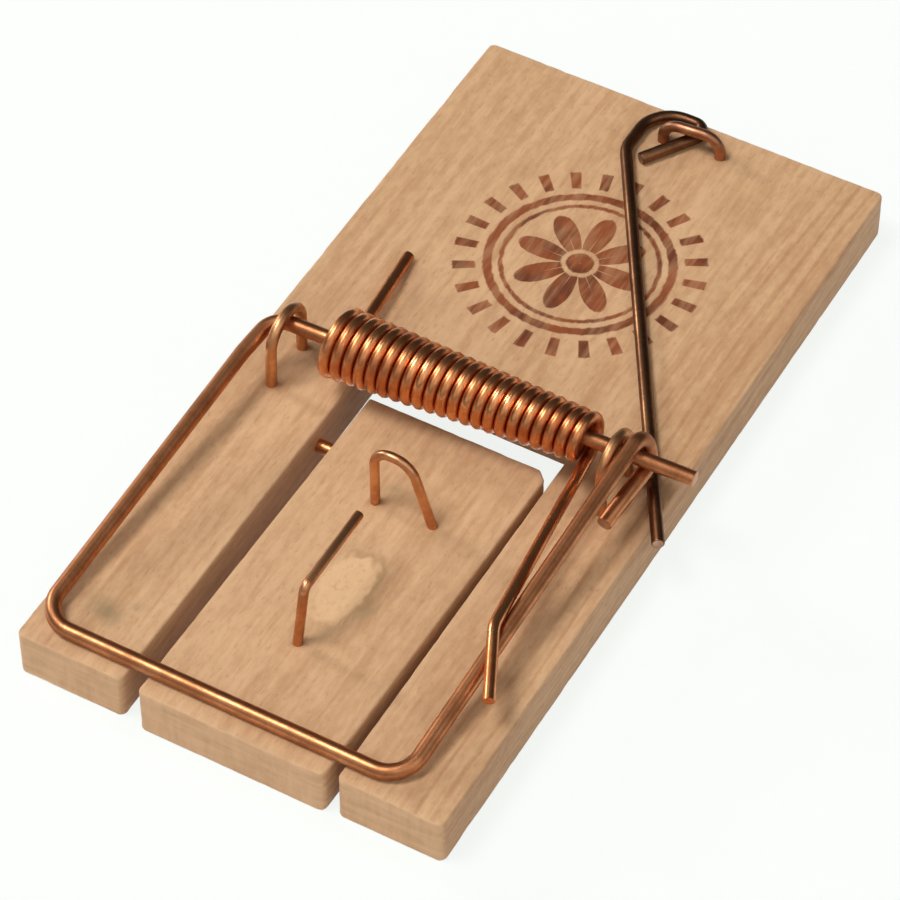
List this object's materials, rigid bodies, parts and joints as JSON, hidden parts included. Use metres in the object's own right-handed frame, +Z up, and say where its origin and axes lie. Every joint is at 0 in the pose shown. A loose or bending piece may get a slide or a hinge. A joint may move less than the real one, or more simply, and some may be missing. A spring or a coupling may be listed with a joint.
{
  "type": "snap mouse trap",
  "caption": "Wooden snap mouse trap with a tilting tongue, a sprung copper-coated wire striker, a latch rod, a catch hoop and a bait spike.",
  "frame": {"origin": "centre of the board's underside, the middle of the outline of the face that it rests on", "axes": "+X across the board to the right, +Y along the board towards the latch end, +Z up out of the board"},
  "size_m": [0.052, 0.0984, 0.016],
  "materials": {
    "board_wood": "sawn and lightly sanded pale wood, slightly worn and smudged",
    "pedal_wood": "sawn and lightly sanded pale wood",
    "pin_steel": "bare wire",
    "striker_wire": "bright copper-coated steel wire",
    "spring_wire": "bright copper-coated spring wire",
    "staple_wire": "copper-coated steel wire",
    "latch_wire": "darkened copper-coated steel wire",
    "thin_wire": "copper-coated steel wire"
  },
  "bodies": {
    "board": {"base_board": "board_wood", "pedal_pin": "pin_steel", "left_axle_staple": "staple_wire", "right_axle_staple": "staple_wire", "latch_staple": "staple_wire", "torsion_spring": "spring_wire"},
    "striker": {"striker_bar": "striker_wire"},
    "pedal": {"trip_pedal": "pedal_wood", "catch_hoop": "thin_wire", "bait_spike": "thin_wire"},
    "latch": {"latch_rod": "latch_wire"}
  },
  "joints": [
    {"name": "striker_swing", "type": "hinge", "parent": "board", "child": "striker", "pos_m": [0, -0.0034, 0.012], "axis": [-0.9995, -0.0332, 0], "range_deg": [0, 190], "stiffness_Nm_per_rad": 0.05, "springref_deg": -34.38, "deforming": ["torsion_spring"]},
    {"name": "pedal_tilt", "type": "hinge", "parent": "board", "child": "pedal", "pos_m": [0, -0.0106, 0.0032], "axis": [-1, 0, 0], "range_deg": [-8, 0]},
    {"name": "latch_swing", "type": "hinge", "parent": "board", "child": "latch", "pos_m": [-0.0004, 0.0446, 0.006], "axis": [0, 0, 1], "range_deg": [0, 75]}
  ]
}
